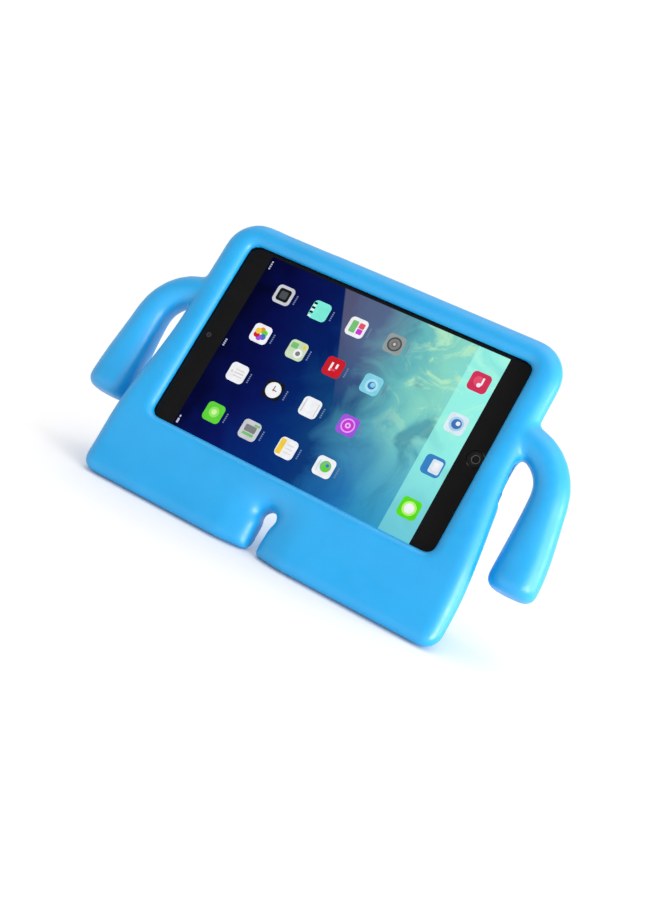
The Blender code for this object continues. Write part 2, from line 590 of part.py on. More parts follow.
def depth_at(x, y):
    """Foam depth behind the front face: two heels with an arch between them."""
    heel = FRAME_DEPTH + (FOOT_DEPTH - FRAME_DEPTH) * smoothstep(flare_at(y))
    thinning = smoothstep((CENTRE_THIN_TOP - y) / CENTRE_THIN_LENGTH)
    centre = FRAME_DEPTH - (FRAME_DEPTH - CENTRE_WALL - VALLEY_DEPTH) * thinning
    blend = smoothstep((abs(x) - ARCH_INNER) / (ARCH_OUTER - ARCH_INNER))
    return centre + (heel - centre) * blend


def back_round_at(x, y):
    """Rounding of the back edge, limited where the wall is thin."""
    left = depth_at(x, y) - valley_at(x, y) - FRONT_ROUND
    return min(BACK_ROUND, BACK_ROUND_SHARE * left)


def foam_point(x, y, depth):
    """A point so deep in the foam, along a line that turns from the sole to the screen's normal."""
    lean = RECLINE * flare_at(y)
    drawn_in = SIDE_TAPER * max(0.0, depth - FRONT_ROUND) / half_width_at(y)
    return (x * (1.0 - drawn_in), y + depth * math.sin(lean), front_at(y) - depth * math.cos(lean))


def side_outline():
    """The right-hand outline from the sole to the top, as (point, outward normal) pairs."""
    foot_half = half_width_at(FOOT_BOTTOM)
    points = arc((foot_half - FOOT_CORNER, FOOT_BOTTOM + FOOT_CORNER), FOOT_CORNER, -90, 0, ARC_STEPS)
    side_start = FOOT_BOTTOM + FOOT_CORNER
    side_end = FRAME_TOP - TOP_CORNER
    for row in range(1, SIDE_ROWS):
        y = side_start + (side_end - side_start) * row / SIDE_ROWS
        slope = (half_width_at(y + MM) - half_width_at(y - MM)) / (2 * MM)
        points.append((Vector((half_width_at(y), y)), Vector((1.0, -slope)).normalized()))
    points += arc((FRAME_HALF - TOP_CORNER, side_end), TOP_CORNER, 0, 90, ARC_STEPS + 2)
    return points


def column_fractions():
    """Where the rows are divided from side to side, closer together over the arch."""
    inner = [0.0, 0.04, 0.08, 0.12, 0.16, 0.21, 0.27, 0.32, 0.37, 0.43, 0.55, 0.8, 1.0]
    return [-value for value in reversed(inner[1:])] + inner


def build_foam_body(material):
    data = bmesh.new()
    side = side_outline()
    columns = column_fractions()
    last_row = len(side) - 1
    last_column = len(columns) - 1

    def place(row, column, near_front, angle):
        """A vertex on the rounded edge; at angle 0 it is on the front or the back face itself."""
        point, normal = side[row]
        radius = FRONT_ROUND if near_front else back_round_at(point.x * columns[column], point.y)
        edge = point - normal * radius * (1 - math.sin(angle))
        x = edge.x * columns[column]
        distance = radius * (1 - math.cos(angle))
        if near_front:
            depth = valley_at(x, edge.y) + distance
        else:
            depth = depth_at(x, edge.y) - distance
        return data.verts.new(foam_point(x, edge.y, depth))

    def face_grid(near_front):
        grid = [[place(row, column, near_front, 0.0) for column in range(last_column + 1)]
                for row in range(last_row + 1)]
        for row in range(last_row):
            for column in range(last_column):
                data.faces.new((grid[row][column], grid[row][column + 1],
                                grid[row + 1][column + 1], grid[row + 1][column]))
        return grid

    border = [(0, column) for column in range(last_column)]
    border += [(row, last_column) for row in range(last_row)]
    border += [(last_row, column) for column in range(last_column, 0, -1)]
    border += [(row, 0) for row in range(last_row, 0, -1)]

    front = face_grid(True)
    back = face_grid(False)
    loops = [[front[row][column] for row, column in border]]
    for near_front in (True, False):
        steps = range(1, ARC_STEPS + 1) if near_front else range(ARC_STEPS, 0, -1)
        for step in steps:
            angle = math.radians(90 * step / ARC_STEPS)
            loops.append([place(row, column, near_front, angle) for row, column in border])
    loops.append([back[row][column] for row, column in border])
    count = len(border)
    for lower, upper in zip(loops, loops[1:]):
        for index in range(count):
            following = (index + 1) % count
            data.faces.new((lower[index], lower[following], upper[following], upper[index]))
    return add_object("foam_case", finish_mesh("foam_case", data), material)


def flared_layers(radius, straight_end, front):
    """Cutter layers for an opening whose front edge is rounded over by the given radius."""
    layers = [(0.0, straight_end)]
    for step in range(FLARE_STEPS + 1):
        angle = math.radians(80 * step / FLARE_STEPS)
        layers.append((radius * (1 - math.cos(angle)), front - radius * (1 - math.sin(angle))))
    last_offset, last_z = layers[-1]
    layers.append((last_offset + 0.1 * radius, last_z + 0.2 * radius))
    return layers


def build_window_cutter():
    top = HALF_WIDTH - WINDOW_TOP_LIP
    bottom = -HALF_WIDTH + WINDOW_BOTTOM_LIP
    length = TABLET_LENGTH - 2 * WINDOW_SIDE_LIP
    outline = rounded_rectangle(length, top - bottom, WINDOW_CORNER, ARC_STEPS)
    layers = flared_layers(WINDOW_ROUND, -OVERSHOOT, FRAME_FRONT)
    cutter = add_object("cut_window", layered_mesh("cut_window", outline, layers))
    cutter.location = (0.0, (top + bottom) / 2, 0.0)
    return cutter


def keyhole_side():
    """Right-hand edge of the keyhole from below the sole up to the bulb's top."""
    bulb_y = -HALF_WIDTH - KEYHOLE_BULB_DROP
    corner = (KEYHOLE_NECK + KEYHOLE_FOOT_ROUND, FOOT_BOTTOM + KEYHOLE_FOOT_ROUND)
    fillet = arc(corner, KEYHOLE_FOOT_ROUND, KEYHOLE_FOOT_START, 180, ARC_STEPS)
    first, outward = fillet[0]
    run_out = first + Vector((-outward.y, outward.x)) * KEYHOLE_RUN_OUT
    points = [(run_out - Vector((0.0, KEYHOLE_RUN_OUT)), -outward), (run_out, -outward)]
    for place, normal in fillet:
        points.append((place, -normal))
    neck_angle = math.degrees(math.asin(KEYHOLE_NECK / KEYHOLE_BULB))
    bulb_start = -90 + neck_angle + KEYHOLE_SHOULDER
    for place, normal in arc((0.0, bulb_y), KEYHOLE_BULB, bulb_start, 90, 2 * ARC_STEPS):
        points.append((place, normal))
    return points


def build_keyhole_cutter():
    right = keyhole_side()
    outline = list(right)
    for point, normal in reversed(right[:-1]):
        outline.append((Vector((-point.x, point.y)), Vector((-normal.x, normal.y))))
    data = bmesh.new()
    rings = []
    for offset, z in flared_layers(KEYHOLE_FRONT_ROUND, -KEYHOLE_REACH, 0.0):
        ring = []
        for point, normal in outline:
            place = point + normal * offset
            ring.append(data.verts.new((place.x, place.y, z + front_height(place.x, place.y))))
        rings.append(ring)
    count = len(outline)
    for lower, upper in zip(rings, rings[1:]):
        for index in range(count):
            following = (index + 1) % count
            data.faces.new((lower[index], lower[following], upper[following], upper[index]))
    top = len(right) - 1
    for ring in (rings[0], rings[-1]):
        for index in range(top):
            corners = [ring[index], ring[index + 1]]
            if index < top - 1:
                corners.append(ring[2 * top - index - 1])
            corners.append(ring[2 * top - index])
            data.faces.new(corners)
    return add_object("cut_keyhole", finish_mesh("cut_keyhole", data))


def arm_stations():
    """Centre line of the right arm from inside the frame to the hand, as (place, width, depth)."""
    shoulder_y = FRAME_TOP - ARM_SHOULDER_DROP
    hand_y = FOOT_BOTTOM + ARM_HAND_RISE
    root_x = FRAME_HALF - ARM_ROOTED
    path = [(root_x, shoulder_y), (root_x + ARM_ROOT_LENGTH, shoulder_y)]
    centre_x = FRAME_HALF + ARM_REACH - ARM_BEND
    centre_y = shoulder_y - ARM_BEND
    for step in range(1, BEND_STEPS + 1):
        angle = math.radians(90 - ARM_TURN * step / BEND_STEPS)
        path.append((centre_x + ARM_BEND * math.cos(angle), centre_y + ARM_BEND * math.sin(angle)))
    elbow_x, elbow_y = path[-1]
    for step in range(1, FOREARM_STEPS + 1):
        share = step / FOREARM_STEPS
        x = elbow_x + ARM_SPREAD * math.sin(share * math.pi / 2)
        path.append((x, elbow_y + (hand_y - elbow_y) * share))
    lengths = [0.0]
    for (x0, y0), (x1, y1) in zip(path, path[1:]):
        lengths.append(lengths[-1] + math.hypot(x1 - x0, y1 - y0))
    stations = []
    for (x, y), length in zip(path, lengths):
        share = length / lengths[-1]
        z = ARM_ROOT_Z + (ARM_HAND_Z - ARM_ROOT_Z) * smoothstep(share)
        swell = smoothstep((share - ARM_SWELL_START) / (1.0 - ARM_SWELL_START))
        width = ARM_ROOT_WIDTH + (ARM_HAND_WIDTH - ARM_ROOT_WIDTH) * swell
        depth = ARM_ROOT_DEPTH + (ARM_HAND_DEPTH - ARM_ROOT_DEPTH) * smoothstep(share)
        stations.append((Vector((x, y, z)), width, depth))
    return stations


def build_arm(name, side):
    stations = arm_stations()
    data = bmesh.new()
    rings = []

    def add_ring(centre, along, width, depth):
        across = Vector((0, 0, 1)).cross(along).normalized()
        radius = min(ARM_EDGE_ROUND, min(width, depth) / 2 - ARM_LEAST_FLAT)
        ring = []
        for point, _ in rounded_rectangle(width, depth, radius, FLARE_STEPS):
            place = centre + across * point.x + Vector((0, 0, point.y))
            ring.append(data.verts.new((place.x * side, place.y, place.z)))
        rings.append(ring)

    for index, (centre, width, depth) in enumerate(stations):
        before = stations[max(index - 1, 0)][0]
        after = stations[min(index + 1, len(stations) - 1)][0]
        add_ring(centre, (after - before).normalized(), width, depth)
    centre, width, depth = stations[-1]
    along = (centre - stations[-2][0]).normalized()
    for step in range(1, HAND_STEPS + 1):
        angle = math.radians(85 * step / HAND_STEPS)
        shrink = 2 * ARM_END_ROUND * (1 - math.cos(angle))
        end = centre + along * ARM_END_ROUND * math.sin(angle)
        add_ring(end, along, width - shrink, depth - shrink)
    count = len(rings[0])
    for lower, upper in zip(rings, rings[1:]):
        for index in range(count):
            following = (index + 1) % count
            data.faces.new((lower[index], lower[following], upper[following], upper[index]))
    data.faces.new(rings[0])
    data.faces.new(rings[-1])
    return add_object(name, finish_mesh(name, data))


def build_foam_case(material):
    foam = build_foam_body(material)
    cut(foam, build_arm("arm_right", 1), "UNION")
    cut(foam, build_arm("arm_left", -1), "UNION")
    pocket = tablet_outline(-POCKET_CLEARANCE)
    cut(foam, plate("cut_pocket", pocket, GAP, -TABLET_THICKNESS - POCKET_CLEARANCE))
    cut(foam, build_window_cutter())
    cut(foam, build_keyhole_cutter())
    cut_foam_openings(foam)
    return foam


def cut_foam_openings(foam):
    middle = -TABLET_THICKNESS / 2
    outside = FRAME_HALF + 2 * OVERSHOOT
    inside = HALF_LENGTH - OVERSHOOT
    port = rounded_rectangle(PORT_OPENING_BELOW + PORT_OPENING_ABOVE, PORT_OPENING_HEIGHT,
                             PORT_OPENING_CORNER)
    cut(foam, bar("cut_port_opening", port, inside, outside, "X",
                  ((PORT_OPENING_ABOVE - PORT_OPENING_BELOW) / 2, -PORT_DEPTH)))
    sleep = rounded_rectangle(SLEEP_BUTTON_LENGTH + 2 * EDGE_OPENING_MARGIN, EDGE_OPENING_HEIGHT,
                              OPENING_CORNER)
    cut(foam, bar("cut_sleep_opening", sleep, -outside, -inside, "X", (SLEEP_BUTTON_Y, middle)))
    start = SIDE_SWITCH_X - SIDE_SWITCH_LENGTH / 2 - EDGE_OPENING_MARGIN
    end = VOLUME_DOWN_X + VOLUME_BUTTON_LENGTH / 2 + EDGE_OPENING_MARGIN
    volume = rounded_rectangle(end - start, EDGE_OPENING_HEIGHT, OPENING_CORNER)
    cut(foam, bar("cut_volume_opening", volume, HALF_WIDTH - OVERSHOOT, FRAME_TOP + OVERSHOOT, "Y",
                  ((start + end) / 2, middle)))
    cut(foam, plate("cut_camera_opening", circle(CAMERA_OPENING_RADIUS), -TABLET_THICKNESS,
                    -FRAME_DEPTH, place=(REAR_CAMERA_X, REAR_CAMERA_Y)))


def build_tablet():
    aluminium = make_material("aluminium", (0.78, 0.79, 0.80), 0.35, 1.0)
    steel = make_material("steel", (0.60, 0.60, 0.60), 0.4, 1.0)
    glass = make_material("black_glass", (0.012, 0.010, 0.012), 0.06)
    display = make_material("display", (0.02, 0.20, 0.45), 0.2)
    black = make_material("black_plastic", (0.02, 0.02, 0.02), 0.4)
    battery = make_material("battery", (0.10, 0.10, 0.11), 0.5)
    board = make_material("board", (0.01, 0.16, 0.06), 0.5)
    build_housing(aluminium)
    build_front(glass, display, black, steel)
    build_back_plate(steel, steel)
    build_inner_parts(battery, board, black)
    build_ports(steel, black)
    build_rear_camera(aluminium, black, glass)
    build_edge_control("sleep_wake_button", SLEEP_BUTTON_LENGTH, "X", SLEEP_BUTTON_Y, aluminium)
    build_edge_control("volume_up_button", VOLUME_BUTTON_LENGTH, "Y", VOLUME_UP_X, aluminium)
    build_edge_control("volume_down_button", VOLUME_BUTTON_LENGTH, "Y", VOLUME_DOWN_X, aluminium)
    build_edge_control("side_switch", SIDE_SWITCH_LENGTH, "Y", SIDE_SWITCH_X, aluminium)


def stand_case_up(foam):
    """Lean the whole frame back, then centre its box over the origin with the sole at Z = 0."""
    case_root.rotation_euler = (math.radians(90) - RECLINE, 0.0, 0.0)
    bpy.context.view_layer.update()
    depsgraph = bpy.context.evaluated_depsgraph_get()
    shape = foam.evaluated_get(depsgraph)
    corners = [shape.matrix_world @ vertex.co for vertex in shape.data.vertices]
    low = [min(corner[axis] for corner in corners) for axis in range(3)]
    high = [max(corner[axis] for corner in corners) for axis in range(3)]
    case_root.location = (-(low[0] + high[0]) / 2, -(low[1] + high[1]) / 2, -low[2])


clear_scene()
case_root = bpy.data.objects.new("case_root", None)
bpy.context.collection.objects.link(case_root)
foam_material = make_material("foam", (0.035, 0.40, 0.88), 0.55)
foam_case = build_foam_case(foam_material)
build_tablet()
stand_case_up(foam_case)
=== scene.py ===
"""Looks for the foam tablet case: soft foam moulding, black-bordered glass, lit display and metal."""
import json
import math

import bmesh
import bpy
from mathutils import Matrix, Vector


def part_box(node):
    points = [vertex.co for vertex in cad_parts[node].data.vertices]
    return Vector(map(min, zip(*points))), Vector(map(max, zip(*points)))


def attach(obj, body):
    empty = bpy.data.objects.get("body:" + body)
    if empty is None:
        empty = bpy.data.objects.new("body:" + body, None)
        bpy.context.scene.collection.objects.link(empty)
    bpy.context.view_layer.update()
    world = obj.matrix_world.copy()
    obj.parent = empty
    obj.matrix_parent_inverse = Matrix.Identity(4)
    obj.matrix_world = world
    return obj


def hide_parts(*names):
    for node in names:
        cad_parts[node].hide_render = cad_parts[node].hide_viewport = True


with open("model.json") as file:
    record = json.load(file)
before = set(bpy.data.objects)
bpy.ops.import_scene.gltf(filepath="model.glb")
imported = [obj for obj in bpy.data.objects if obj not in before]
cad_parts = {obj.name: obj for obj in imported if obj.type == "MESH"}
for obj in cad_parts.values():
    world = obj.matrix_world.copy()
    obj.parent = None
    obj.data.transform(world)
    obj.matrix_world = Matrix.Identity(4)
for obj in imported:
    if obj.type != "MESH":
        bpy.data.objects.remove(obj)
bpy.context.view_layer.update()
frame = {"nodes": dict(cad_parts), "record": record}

MM = 0.001
nodes = frame["nodes"]

# ---------------------------------------------------------------- the screen's own frame

GLASS_THICKNESS = 1.0 * MM
DISPLAY_LENGTH = 160.5 * MM
DISPLAY_WIDTH = 120.4 * MM


def joint_axis(name):
    joints = frame["record"]["behaviour"]["joints"]
    return Vector(next(joint["axis"] for joint in joints if joint["name"] == name)).normalized()


def box_centre(node):
    low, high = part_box(node)
    return (Vector(low) + Vector(high)) / 2


OUT = joint_axis("tablet_removal")
RIGHT = Vector((1.0, 0.0, 0.0))
UP = OUT.cross(RIGHT)
GLASS_CENTRE = box_centre("front_glass") + OUT * GLASS_THICKNESS / 2
SCREEN = Matrix.Translation(GLASS_CENTRE) @ Matrix((RIGHT, UP, OUT)).transposed().to_4x4()


def on_screen(point):
    """Screen coordinates of a world point."""
    return SCREEN.inverted() @ Vector(point)


# ---------------------------------------------------------------- camera

CAMERA_PLACE = Vector((270.1, -156.8, 659.9)) * MM     # right, up and out from the glass centre
CAMERA_AIM = Vector((13.6, -30.7, 0.0)) * MM
CAMERA_ROLL = math.radians(-29.9)
CAMERA_LENS = 51.2


def build_camera():
    data = bpy.data.cameras.new("camera")
    data.lens = CAMERA_LENS
    data.sensor_width = 36.0
    data.clip_start = 0.01
    data.clip_end = 50.0
    camera = bpy.data.objects.new("camera", data)
    bpy.context.collection.objects.link(camera)
    place = SCREEN @ CAMERA_PLACE
    forward = (SCREEN @ CAMERA_AIM - place).normalized()
    level_up = (UP - forward * UP.dot(forward)).normalized()
    level_right = forward.cross(level_up)
    up = level_up * math.cos(CAMERA_ROLL) + level_right * math.sin(CAMERA_ROLL)
    right = forward.cross(up)
    turn = Matrix((right, up, -forward)).transposed().to_4x4()
    camera.matrix_world = Matrix.Translation(place) @ turn
    bpy.context.scene.camera = camera


# ---------------------------------------------------------------- material helpers

UNLIT = (0.0, 0.0, 0.0, 1.0)


def srgb(red, green, blue):
    """Linear colour of an 8-bit display colour."""
    def linear(value):
        value /= 255.0
        return value / 12.92 if value <= 0.04045 else ((value + 0.055) / 1.055) ** 2.4
    return (linear(red), linear(green), linear(blue), 1.0)


def scaled(colour, factor, lift=0.0):
    """A darker or lighter tone of a linear colour."""
    return tuple(min(1.0, channel * factor + lift) for channel in colour[:3]) + (1.0,)


def new_material(name, colour, roughness, metallic=0.0, specular=0.5):
    material = bpy.data.materials.new(name)
    material.use_nodes = True
    shader = material.node_tree.nodes["Principled BSDF"]
    shader.inputs["Base Color"].default_value = colour
    shader.inputs["Roughness"].default_value = roughness
    shader.inputs["Metallic"].default_value = metallic
    shader.inputs["Specular IOR Level"].default_value = specular
    return material, material.node_tree, shader


def coordinates(tree, kind="Object"):
    node = tree.nodes.new("ShaderNodeTexCoord")
    return node.outputs[kind]


def split_axes(tree, vector):
    node = tree.nodes.new("ShaderNodeSeparateXYZ")
    tree.links.new(vector, node.inputs[0])
    return node.outputs


def noise(tree, vector, scale, detail=2.0, roughness=0.5, distortion=0.0):
    node = tree.nodes.new("ShaderNodeTexNoise")
    node.inputs["Scale"].default_value = scale
    node.inputs["Detail"].default_value = detail
    node.inputs["Roughness"].default_value = roughness
    node.inputs["Distortion"].default_value = distortion
    tree.links.new(vector, node.inputs["Vector"])
    return node.outputs["Fac"]


def math_node(tree, operation, first, second=None, third=None):
    node = tree.nodes.new("ShaderNodeMath")
    node.operation = operation
    for socket, value in zip(node.inputs, (first, second, third)):
        if value is None:
            continue
        if isinstance(value, (int, float)):
            socket.default_value = value
        else:
            tree.links.new(value, socket)
    return node.outputs[0]


def product(tree, first, *others):
    for other in others:
        first = math_node(tree, "MULTIPLY", first, other)
    return first


def ramp(tree, factor, stops):
    node = tree.nodes.new("ShaderNodeValToRGB")
    elements = node.color_ramp.elements
    while len(elements) < len(stops):
        elements.new(0.5)
    for element, (position, colour) in zip(elements, stops):
        element.position = position
        element.color = colour
    tree.links.new(factor, node.inputs["Fac"])
    return node.outputs["Color"]


def map_range(tree, value, low, high, to_low=0.0, to_high=1.0, smooth=True):
    node = tree.nodes.new("ShaderNodeMapRange")
    node.interpolation_type = "SMOOTHSTEP" if smooth else "LINEAR"
    node.inputs["From Min"].default_value = low
    node.inputs["From Max"].default_value = high
    node.inputs["To Min"].default_value = to_low
    node.inputs["To Max"].default_value = to_high
    tree.links.new(value, node.inputs["Value"])
    return node.outputs["Result"]


def mix_colour(tree, factor, first, second):
    node = tree.nodes.new("ShaderNodeMix")
    node.data_type = "RGBA"
    inputs = [socket for socket in node.inputs if socket.enabled]
    for socket, value in zip(inputs, (factor, first, second)):
        if isinstance(value, (int, float, tuple)):
            socket.default_value = value
        else:
            tree.links.new(value, socket)
    return next(socket for socket in node.outputs if socket.enabled)


def add_bump(tree, shader, height, strength, distance):
    node = tree.nodes.new("ShaderNodeBump")
    node.inputs["Strength"].default_value = strength
    node.inputs["Distance"].default_value = distance
    tree.links.new(height, node.inputs["Height"])
    tree.links.new(node.outputs["Normal"], shader.inputs["Normal"])


# ---------------------------------------------------------------- materials

FOAM_BLUE = (0.0, 0.3, 0.7, 1.0)
FOAM_DEEP = (0.001, 0.305, 0.66, 1.0)
FOAM_LIGHT = (0.002, 0.340, 0.72, 1.0)
FOAM_SPECK = (0.01, 0.39, 0.80, 1.0)


def foam_material():
    """Closed-cell moulded foam: satin skin, fine cell grain, faint cloudy colour and handling marks."""
    material, tree, shader = new_material("moulded_foam", FOAM_BLUE, roughness=0.45, specular=0.75)
    place = coordinates(tree)
    cloud = noise(tree, place, scale=28.0, detail=3.0)
    fine = noise(tree, place, scale=900.0)
    speck = map_range(tree, fine, low=0.35, high=0.70, to_high=0.10)
    colour = ramp(tree, cloud, ((0.30, FOAM_DEEP), (0.70, FOAM_LIGHT)))
    tree.links.new(mix_colour(tree, speck, colour, FOAM_SPECK), shader.inputs["Base Color"])
    wear = noise(tree, place, scale=120.0, detail=4.0, roughness=0.6)
    gloss = map_range(tree, wear, low=0.3, high=0.7, to_low=0.36, to_high=0.48)
    tree.links.new(gloss, shader.inputs["Roughness"])
    cells = tree.nodes.new("ShaderNodeTexVoronoi")
    cells.inputs["Scale"].default_value = 1500.0
    tree.links.new(place, cells.inputs["Vector"])
    grain = math_node(tree, "MULTIPLY_ADD", cells.outputs["Distance"], 0.5, fine)
    add_bump(tree, shader, grain, strength=0.12, distance=0.12 * MM)
    return material


GLASS_BLACK = (0.004, 0.0038, 0.0045, 1.0)
GLASS_DEEP = (0.0035, 0.0034, 0.004, 1.0)
GLASS_SMUDGED = (0.006, 0.0055, 0.006, 1.0)


def glass_material():
    """Glossy black-backed cover glass with a trace of smudging in its gloss."""
    material, tree, shader = new_material("border_glass", GLASS_BLACK, roughness=0.06, specular=0.2)
    smudge = noise(tree, coordinates(tree), scale=60.0, detail=4.0, roughness=0.6)
    gloss = map_range(tree, smudge, low=0.4, high=0.75, to_low=0.04, to_high=0.12)
    tree.links.new(gloss, shader.inputs["Roughness"])
    tint = ramp(tree, smudge, ((0.3, GLASS_DEEP), (0.8, GLASS_SMUDGED)))
    tree.links.new(tint, shader.inputs["Base Color"])
    return material


LENS_BLACK = (0.01, 0.01, 0.02, 1.0)


def lens_material():
    """Near-black coated glass with slightly uneven gloss."""
    material, tree, shader = new_material("lens_glass", LENS_BLACK, roughness=0.03, specular=0.6)
    coating = noise(tree, coordinates(tree), scale=300.0)
    gloss = map_range(tree, coating, low=0.3, high=0.7, to_low=0.02, to_high=0.06)
    tree.links.new(gloss, shader.inputs["Roughness"])
    return material


GRAIN_DEPTH = 0.05 * MM


def metal_material(name, colour, roughness, grain_scale):
    """Blasted or brushed metal: fine grain in gloss and surface, slight tone change."""
    material, tree, shader = new_material(name, colour, roughness, metallic=1.0)
    place = coordinates(tree)
    fine = noise(tree, place, grain_scale)
    tone = noise(tree, place, scale=40.0)
    tones = ramp(tree, tone, ((0.3, scaled(colour, 0.90)), (0.7, colour)))
    tree.links.new(tones, shader.inputs["Base Color"])
    gloss = map_range(tree, fine, low=0.3, high=0.7, to_low=roughness - 0.05, to_high=roughness + 0.08)
    tree.links.new(gloss, shader.inputs["Roughness"])
    add_bump(tree, shader, fine, strength=0.06, distance=GRAIN_DEPTH)
    return material


def plastic_material(name, colour, roughness, grain_scale=1200.0, specular=0.4):
    """Moulded plastic with a fine spark-eroded grain."""
    material, tree, shader = new_material(name, colour, roughness, specular=specular)
    place = coordinates(tree)
    fine = noise(tree, place, grain_scale)
    tone = noise(tree, place, scale=70.0)
    tones = ramp(tree, tone, ((0.3, colour), (0.7, scaled(colour, 1.25, lift=0.002))))
    tree.links.new(tones, shader.inputs["Base Color"])
    gloss = map_range(tree, fine, low=0.3, high=0.7, to_low=roughness - 0.05, to_high=roughness + 0.05)
    tree.links.new(gloss, shader.inputs["Roughness"])
    add_bump(tree, shader, fine, strength=0.08, distance=GRAIN_DEPTH)
    return material


def light_material(name, colour):
    """A lit patch of the picture under the glass, very slightly uneven."""
    material, tree, shader = new_material(name, UNLIT, roughness=0.08, specular=0.05)
    shade = noise(tree, coordinates(tree), scale=220.0)
    glow = ramp(tree, shade, ((0.35, scaled(colour, 0.90)), (0.65, colour)))
    tree.links.new(glow, shader.inputs["Emission Color"])
    shader.inputs["Emission Strength"].default_value = 1.0
    return material


FLOOR_WHITE = (0.956, 0.932, 0.918, 1.0)
FLOOR_TONES = ((0.0, (0.952, 0.928, 0.914, 1.0)), (1.0, (0.960, 0.936, 0.922, 1.0)))


def stage_material():
    """A matt, nearly even white floor."""
    material, tree, shader = new_material("studio_floor", FLOOR_WHITE, roughness=0.8, specular=0.0)
    tone = noise(tree, coordinates(tree), scale=3.0)
    tree.links.new(ramp(tree, tone, FLOOR_TONES), shader.inputs["Base Color"])
    return material


# ---------------------------------------------------------------- wallpaper

# Colours from the left end of the display to the right, along its top and along its foot
TOP_TONES = ((0.0, (2, 4, 40)), (0.18, (6, 13, 74)), (0.36, (4, 30, 96)), (0.51, (18, 72, 124)),
             (0.66, (100, 182, 187)), (0.80, (134, 213, 196)), (1.0, (128, 222, 218)))
FOOT_TONES = ((0.0, (3, 6, 50)), (0.18, (8, 22, 92)), (0.36, (5, 44, 116)), (0.51, (11, 55, 118)),
              (0.66, (30, 110, 176)), (0.80, (48, 145, 192)), (1.0, (62, 165, 204)))
WISP_COLOUR = (186, 238, 196)
SHADE_COLOUR = (40, 120, 150)
DOCK_COLOUR = (160, 255, 240)
# Tint of the painted reflection of a softbox on the glass, laid into the picture's glow
PAINTED_GLARE_COLOUR = (1.0, 0.94, 0.9, 1.0)

BILLOW = 12 * MM         # how far the clouds bend the colour bands to either side
PAINTED_GLARE_SLANT = 0.443      # sideways run of the painted reflection's edge for each unit of height
WISP_OPACITY = 0.75
SHADE_OPACITY = 0.60
PAINTED_GLARE_OPACITY = 0.085


def display_tones(tree, position, tones):
    return ramp(tree, position, [(stop, srgb(*colour)) for stop, colour in tones])


def wallpaper_bands(tree, bent, height):
    """Bands of colour across the display, with one set of tones above and one below."""
    position = map_range(tree, bent, -DISPLAY_LENGTH / 2, DISPLAY_LENGTH / 2, smooth=False)
    rise = map_range(tree, height, low=-60 * MM, high=25 * MM)
    return mix_colour(tree, rise, display_tones(tree, position, FOOT_TONES),
                      display_tones(tree, position, TOP_TONES))


def add_wisps(tree, place, bent, height, colour):
    """Pale wisps on the right, thickest toward the top."""
    wisps = noise(tree, place, scale=48.0, detail=6.0, roughness=0.62, distortion=1.6)
    where = product(tree, map_range(tree, bent, low=14 * MM, high=40 * MM),
                    map_range(tree, height, low=-20 * MM, high=30 * MM))
    mask = product(tree, map_range(tree, wisps, low=0.47, high=0.62), where, WISP_OPACITY)
    return mix_colour(tree, mask, colour, srgb(*WISP_COLOUR))


def add_shades(tree, place, bent, colour):
    """Darker drifts of cloud on the right."""
    drifts = noise(tree, place, scale=30.0, detail=4.0, distortion=1.0)
    mask = product(tree, map_range(tree, drifts, low=0.52, high=0.70),
                   map_range(tree, bent, low=5 * MM, high=35 * MM), SHADE_OPACITY)
    return mix_colour(tree, mask, colour, srgb(*SHADE_COLOUR))


def add_dock(tree, across, height, colour):
    """The pale strip behind the end column of icons."""
    mask = product(tree, map_range(tree, across, low=60.4 * MM, high=60.7 * MM),
                   map_range(tree, height, low=-75 * MM, high=0.0, to_low=0.30, to_high=0.62))
    return mix_colour(tree, mask, colour, srgb(*DOCK_COLOUR))


def add_sheen(tree, across, height, colour):
    """Painted reflection of a softbox on the glass: a faint slanted sheen in the upper middle, sharp on its
    left and fading to the right.
    """
    edge = math_node(tree, "MULTIPLY_ADD", height, PAINTED_GLARE_SLANT, across)
    mask = product(tree, map_range(tree, edge, low=-2.4 * MM, high=-1.2 * MM),
                   map_range(tree, height, low=-15 * MM, high=45 * MM),
                   map_range(tree, across, low=30 * MM, high=4 * MM), PAINTED_GLARE_OPACITY)
    return mix_colour(tree, mask, colour, PAINTED_GLARE_COLOUR)


def picture_material():
    """The wallpaper: night blue on the left through teal to pale aqua on the right, with soft clouds, and a
    painted reflection of a softbox laid over it.
    """
    material, tree, shader = new_material("display_picture", UNLIT, roughness=0.06, specular=0.03)
    place = coordinates(tree)
    across, height = split_axes(tree, place)[:2]
    billow = noise(tree, place, scale=34.0, detail=5.0, roughness=0.55, distortion=0.8)
    shift = map_range(tree, billow, low=0.25, high=0.75, to_low=-BILLOW, to_high=BILLOW, smooth=False)
    bent = math_node(tree, "ADD", across, shift)
    colour = wallpaper_bands(tree, bent, height)
    colour = add_wisps(tree, place, bent, height, colour)
    colour = add_shades(tree, place, bent, colour)
    colour = add_dock(tree, across, height, colour)
    # Painted reflection: a softbox's sheen on the glass, drawn into the picture's own glow
    colour = add_sheen(tree, across, height, colour)
    tree.links.new(colour, shader.inputs["Emission Color"])
    shader.inputs["Emission Strength"].default_value = 1.0
    return material


# ---------------------------------------------------------------- mesh helpers

SHARP_ANGLE = 35
ALL_SMOOTH = 180


def rounded_rectangle(length, width, radius, centre=(0.0, 0.0), steps=6):
    outline = []
    for quadrant, (sign_x, sign_y) in enumerate(((1, 1), (-1, 1), (-1, -1), (1, -1))):
        for step in range(steps + 1):
            angle = math.radians(90 * (quadrant + step / steps))
            outline.append((centre[0] + sign_x * (length / 2 - radius) + radius * math.cos(angle),
                            centre[1] + sign_y * (width / 2 - radius) + radius * math.sin(angle)))
    return outline


def circle(radius, centre, steps=40):
    return [(centre[0] + radius * math.cos(math.tau * step / steps),
             centre[1] + radius * math.sin(math.tau * step / steps)) for step in range(steps)]


